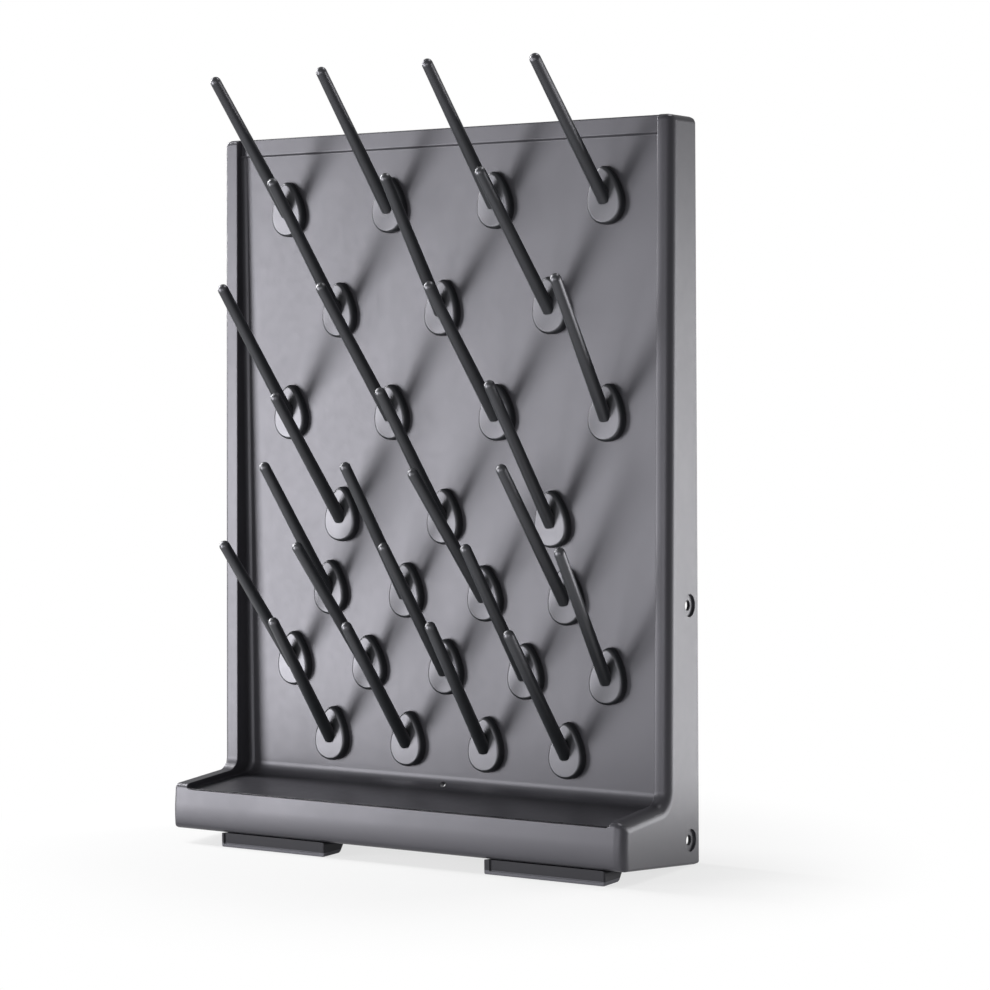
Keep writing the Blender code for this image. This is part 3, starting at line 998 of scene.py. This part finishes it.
@dataclass
class Peg:
    """A tapered rod that leans up out of an egg-shaped collar, with a split plug behind."""

    panel_place: float
    rod_length: float = 0.1267
    rod_lean: float = math.radians(49.3)
    rod_root_radius: float = 0.0050
    rod_tip_radius: float = 0.0041
    rod_root_drop: float = 0.001
    root_buried: float = 0.0035
    tip_reach: float = 1.5
    tip_roundness: float = 0.97
    tip_steps: int = 10
    collar_thickness: float = 0.007
    collar_half_width: float = 0.0143
    collar_half_height: float = 0.0215
    collar_taper: float = 0.30
    collar_wall: float = 0.0035
    collar_steps: tuple = ((0.0017, 0.0006), (0.0010, 0.0008), (0.0008, 0.0013))
    plug_radius: float = 0.006
    bead_height: float = 0.0009
    bead_rise: float = 0.0008
    plug_tail: float = 0.006
    plug_tail_radius: float = 0.0048
    plug_inset: float = 0.0004
    slot_width: float = 0.0016
    collar_sides: int = 96
    rod_sides: int = 40

    @property
    def face(self) -> float:
        """The depth of the collar's face in front of the panel."""
        return SEAT_GAP + self.collar_thickness

    @property
    def root(self) -> Vector:
        """Where the rod's middle line meets the collar's face."""
        return Vector((0, -self.face, -self.rod_root_drop))

    def collar(self) -> Solid:
        """Models the collar: a drafted, egg-shaped plate with a soft edge to its face.

        Returns:
            The collar, on the panel at height 0.
        """
        collar = disc("collar", self.collar_sides, (math.radians(90), 0, 0))
        with editing(collar):
            bpy.ops.mesh.select_all(action="SELECT")
            bpy.ops.transform.resize(value=(self.collar_half_width, 1, self.collar_half_height))
        taper = collar.modifiers.new("narrow_head", "SIMPLE_DEFORM")
        taper.deform_method = "TAPER"
        taper.deform_axis = "Z"
        taper.factor = -2 * self.collar_taper
        bpy.ops.object.modifier_apply(modifier=taper.name)
        move(collar, Vector((0, -SEAT_GAP, 0)))
        with editing(collar):
            raise_solid((0, -self.collar_wall, 0))
            front = -SEAT_GAP * 2
            pick("faces", lambda face: is_end(face) and face.calc_center_median().y < front)
            for rise, inset in self.collar_steps:
                bpy.ops.mesh.inset(thickness=inset, depth=rise)
        return collar

    def rod(self) -> Solid:
        """Models the rod with its round tip.

        Returns:
            The rod, with its root inside the collar.
        """
        lean = Vector((0, -math.cos(self.rod_lean), math.sin(self.rod_lean)))
        end = self.root + lean * (self.rod_length + self.rod_tip_radius)
        start = self.root - lean * self.root_buried
        radii = (self.rod_root_radius, self.rod_tip_radius)
        rod = cylinder("rod", radii[0], start, end, self.rod_sides, radii[1])
        zone = self.tip_reach * self.rod_tip_radius

        def round_tip(edge: bmesh.types.BMEdge) -> bool:
            """Whether an edge runs round the end of the tip."""
            near = all((vertex.co - end).length < zone for vertex in edge.verts)
            return near and any(is_end(face) for face in edge.link_faces)

        with editing(rod, "EDGE"):
            pick("edges", round_tip)
            bevel(self.rod_tip_radius * self.tip_roundness, self.tip_steps)
        return rod

    def plug(self) -> Solid:
        """Models the split plug with its snap bead.

        Returns:
            The plug, from inside the collar out behind the panel.
        """
        bead = WALL + SEAT_GAP
        bead_radius = self.plug_radius + self.bead_height
        inside = Vector((0, -self.collar_thickness / 2, 0))
        outside = Vector((0, bead, 0))
        plug = cylinder("plug", self.plug_radius, inside, outside, self.rod_sides)
        with editing(plug):
            pick("faces", lambda face: is_end(face) and face.calc_center_median().y > 0)
            for rise, growth in (
                (self.bead_rise, bead_radius / self.plug_radius),
                (self.plug_tail - self.bead_rise, self.plug_tail_radius / bead_radius),
            ):
                draw_out((0, rise, 0))
                bpy.ops.transform.resize(value=(growth, 1, growth), center_override=(0, 0, 0))
            bpy.ops.mesh.inset(thickness=self.plug_inset, depth=0.0)
        end = bead + self.plug_tail
        slot = block(
            "slot",
            (0, (WALL + end) / 2 + OVERCUT / 4, 0),
            (self.slot_width, end - WALL + OVERCUT / 2, 4 * self.plug_radius),
        )
        combine(plug, slot, Join.CUT)
        return plug

    def pattern(self) -> Solid:
        """Models one whole peg, straight in its hole, that the others are copied from."""
        peg = self.collar()
        combine(peg, self.rod(), Join.ADD)
        combine(peg, self.plug(), Join.ADD)
        return peg

    def placed(self, pattern: Solid, place: PegPlace) -> Solid:
        """Copies the pattern, sets its rod, turns it in its hole and moves it there.

        Args:
            pattern: The peg to copy.
            place: Where it goes.

        Returns:
            The copy.
        """
        peg = copy(pattern, f"fine_{place.node}")
        before_face = -self.face - NEAR
        with editing(peg, "VERT"):
            pick("verts", lambda vertex: vertex.co.y < before_face)
            swing(-place.lift, "X", self.root)
            bpy.ops.mesh.select_all(action="SELECT")
            swing(place.turn, "Y", Vector((0, 0, 0)))
        move(peg, Vector((place.x, self.panel_place, place.height)))
        return peg

    def build(self, places: list[PegPlace], material: bpy.types.Material) -> None:
        """Models and dresses every peg.

        Args:
            places: Where the pegs go.
            material: Their plastic.
        """
        pattern = self.pattern()
        smooth(pattern)
        for place in places:
            dressed(self.placed(pattern, place), material, place.node)
        bpy.data.objects.remove(pattern)


@dataclass
class Foot:
    """A foot under the tray, with a shallow pocket in its front and two studs that hold it."""

    node: str
    span: tuple[float, float]
    inner_end: int
    panel_place: float
    setback: float = 0.0008
    front: float = -0.0862
    top_depth: float = 0.028
    ground_depth: float = 0.022
    heel_radius: float = 0.004
    edge: float = 0.0015
    front_height: float = 0.0113
    underside_slope: float = 0.0113 / 0.111
    pocket_depth: float = 0.0012
    pocket_frame: float = 0.0025
    stud_radius: float = 0.004
    stud_rise: float = 0.003
    stud_setback: float = 0.0132
    stud_inset: float = 0.020
    stud_sides: int = 40
    rounding_steps: int = 5

    def underside(self, y: float) -> float:
        """The height of the tray's sloping underside at a depth from the panel."""
        return self.front_height - (y - self.front + self.setback) * self.underside_slope

    def studs(self) -> list[Vector]:
        """Where the studs stand, on the tray's underside."""
        y = self.front + self.stud_setback
        ends = (self.span[0] + self.stud_inset, self.span[1] - self.stud_inset)
        return [Vector((x, y, self.underside(y))) for x in ends]

    def edge_rounding(self, middle: Vector, across: bool) -> float:
        """How far an edge of the foot is rounded."""
        if across:
            at_ground = middle.z < TOUCHING and middle.y < self.front + self.edge
            return self.edge / 2 if at_ground else 0.0
        return self.edge

    def build(self, material: bpy.types.Material) -> None:
        """Models and dresses the foot.

        Args:
            material: Its plastic.
        """
        back = self.front + self.top_depth
        outline = [
            Corner(self.front, 0),
            Corner(self.front + self.ground_depth, 0, self.heel_radius),
            Corner(back, self.underside(back) - SEAT_GAP),
            Corner(self.front, self.underside(self.front) - SEAT_GAP),
        ]
        length = self.span[1] - self.span[0]
        foot = prism(f"fine_{self.node}", outline, length / 2)
        round_edges(foot, self.edge_rounding, self.rounding_steps)
        move(foot, Vector((sum(self.span) / 2, 0, 0)))
        # The pocket's frame is one width at the outer end and two at the inner one.
        middle = (sum(self.span) - self.inner_end * self.pocket_frame) / 2
        pocket = block(
            "pocket",
            (middle, self.front, self.pocket_frame + self.front_height),
            (length - 3 * self.pocket_frame, 2 * self.pocket_depth, 2 * self.front_height),
        )
        combine(foot, pocket, Join.CUT)
        for place in self.studs():
            ends = (place - Vector((0, 0, WALL)), place + Vector((0, 0, WALL + self.stud_rise)))
            stud = cylinder("stud", self.stud_radius, *ends, self.stud_sides)
            combine(foot, stud, Join.ADD)
        move(foot, Vector((0, self.panel_place, 0)))
        smooth(foot)
        dressed(foot, material, self.node)


def towards(azimuth: float, elevation: float) -> Vector:
    """The way to an azimuth from straight in front and an elevation, both in radians."""
    level = math.cos(elevation)
    return Vector((math.sin(azimuth) * level, -math.cos(azimuth) * level, math.sin(elevation)))


@dataclass(frozen=True)
class SoftBox:
    """A soft studio lamp that faces the rack.

    Attributes:
        name: The lamp's name.
        azimuth: Its direction from the rack, in degrees from straight in front towards the right.
        elevation: Its angle above the rack's middle, in degrees.
        distance: How far away it stands.
        size: Its width and height.
        power: Its power in watts.
    """

    name: str
    azimuth: float
    elevation: float
    distance: float
    size: tuple[float, float]
    power: float

    def light(self, target: Vector) -> None:
        """Hangs the lamp and turns it to the target."""
        away = towards(math.radians(self.azimuth), math.radians(self.elevation))
        lamp = bpy.data.lights.new(self.name, "AREA")
        lamp.shape = "RECTANGLE"
        lamp.size, lamp.size_y = self.size
        lamp.energy = self.power
        made = bpy.data.objects.new(self.name, lamp)
        made.location = target + away * self.distance
        made.rotation_euler = away.to_track_quat("Z", "Y").to_euler()
        made.visible_camera = False
        bpy.context.scene.collection.objects.link(made)


@dataclass
class Studio:
    """The camera, the lamps, the floor and the background."""

    eye: Triple = (1.14277, -1.76960, 0.37185)
    azimuth: float = math.radians(32.363)
    elevation: float = math.radians(2.97)
    roll: float = math.radians(-0.55)
    lens: float = 101.58
    sensor: float = 36.0
    clip: tuple[float, float] = (0.05, 100.0)
    shift: tuple[float, float] = (0.0492, 0.0131)
    target: Triple = (0.0, 0.0, 0.29)
    lamps: tuple[SoftBox, ...] = (
        SoftBox("key", -41, -7, 2.0, (0.75, 1.4), 66),
        SoftBox("front", -8, -4, 2.0, (0.45, 0.6), 6),
        SoftBox("front_right", 22, -4, 2.0, (1.1, 0.5), 11),
        SoftBox("left", -90, 26, 2.0, (0.45, 1.6), 70),
        SoftBox("right", 136, -10, 2.0, (1.2, 1.3), 36),
        SoftBox("high_back", 150, 65, 2.0, (0.36, 0.36), 12),
    )
    floor_radius: float = 0.42
    floor_level: float = 0.7
    floor_sides: int = 128
    shadow_radius: float = 0.2
    rim_start: float = 0.95
    shadow_white: float = 0.72
    white_in_gloss: float = 0.3
    fill_level: float = 0.15

    def camera(self) -> None:
        """Stands the camera where the photograph was taken from."""
        back = towards(self.azimuth, self.elevation)
        flat_right = Vector((math.cos(self.azimuth), math.sin(self.azimuth), 0))
        flat_up = back.cross(flat_right)
        right = flat_right * math.cos(self.roll) + flat_up * math.sin(self.roll)
        up = flat_up * math.cos(self.roll) - flat_right * math.sin(self.roll)
        camera = bpy.data.cameras.new("camera")
        camera.lens = self.lens
        camera.sensor_width = self.sensor
        camera.shift_x, camera.shift_y = self.shift
        camera.clip_start, camera.clip_end = self.clip
        made = bpy.data.objects.new("camera", camera)
        turn = Matrix((right, up, back)).transposed().to_4x4()
        made.matrix_world = Matrix.Translation(Vector(self.eye)) @ turn
        bpy.context.scene.collection.objects.link(made)
        bpy.context.scene.camera = made

    @staticmethod
    def seen(wiring: Wiring, in_gloss: float) -> Value:
        """How far a ray shows plain white: wholly where it comes from the camera.

        Args:
            wiring: The material or world that asks.
            in_gloss: The share for what is mirrored in a gloss.

        Returns:
            The share, from 0 to 1.
        """
        camera = wiring.node("ShaderNodeLightPath", {}, {}, "Is Camera Ray")
        glossy = wiring.node("ShaderNodeLightPath", {}, {}, "Is Glossy Ray")
        clear = wiring.node("ShaderNodeLightPath", {}, {}, "Is Transmission Ray")
        return (camera + glossy * in_gloss + clear).clamped()

    def floor(self) -> None:
        """Lays a round table top that keeps the rack's soft shadow and fades to white."""
        bpy.ops.mesh.primitive_circle_add(
            vertices=self.floor_sides, radius=self.floor_radius, fill_type="NGON"
        )
        floor = named("floor")
        made = bpy.data.materials.new("floor_paint")
        wiring = Wiring(made)
        paint = wiring.node("ShaderNodeBsdfDiffuse", {}, {"Color": grey(self.floor_level)})
        white = wiring.node("ShaderNodeEmission", {}, {"Color": grey(1.0), "Strength": 1.0})
        away = wiring.node("ShaderNodeVectorMath", {"operation": "LENGTH"}, {0: wiring.place()}, 1)
        rim = self.floor_radius * self.rim_start
        share = self.seen(wiring, 1.0) * away.ramp(self.shadow_radius, rim, self.shadow_white)
        wiring.finish(wiring.node("ShaderNodeMixShader", {}, {0: share, 1: paint, 2: white}))
        floor.data.materials.append(made)

    def background(self) -> None:
        """Gives the world a white background and a dim, even fill."""
        world = bpy.data.worlds.new("studio")
        bpy.context.scene.world = world
        wiring = Wiring(world)
        level = self.seen(wiring, self.white_in_gloss) * (1 - self.fill_level) + self.fill_level
        inputs = {"Color": grey(1.0), "Strength": level}
        wiring.finish(wiring.node("ShaderNodeBackground", {}, inputs))

    def build(self) -> None:
        """Sets up the whole studio."""
        bpy.context.scene.view_settings.view_transform = "Standard"
        self.camera()
        for lamp in self.lamps:
            lamp.light(Vector(self.target))
        self.floor()
        self.background()
        log.info("studio: camera, %d lamps, floor and background", len(self.lamps))


def main() -> None:
    """Dresses the rack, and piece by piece."""
    logging.basicConfig(level=logging.INFO, format="%(name)s: %(message)s")
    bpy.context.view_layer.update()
    Studio().build()
    board_low, board_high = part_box("rack_body")
    panel_place = board_high.y - BackBoard.shell_depth
    feet = []
    for node, inner_end in (("foot_left", 1), ("foot_right", -1)):
        low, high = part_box(node)
        feet.append(Foot(node, (low.x, high.x), inner_end, panel_place))
    places = PegField().places()
    studs = [place for foot in feet for place in foot.studs()]
    board = BackBoard(panel_place, places, studs, board_high.x - board_low.x, board_high.z)
    board.build(BOARD_PLASTIC.make())
    Peg(panel_place).build(places, PEG_PLASTIC.make())
    foot_plastic = FOOT_PLASTIC.make()
    for foot in feet:
        foot.build(foot_plastic)
    clear()


if __name__ == "__main__":
    main()
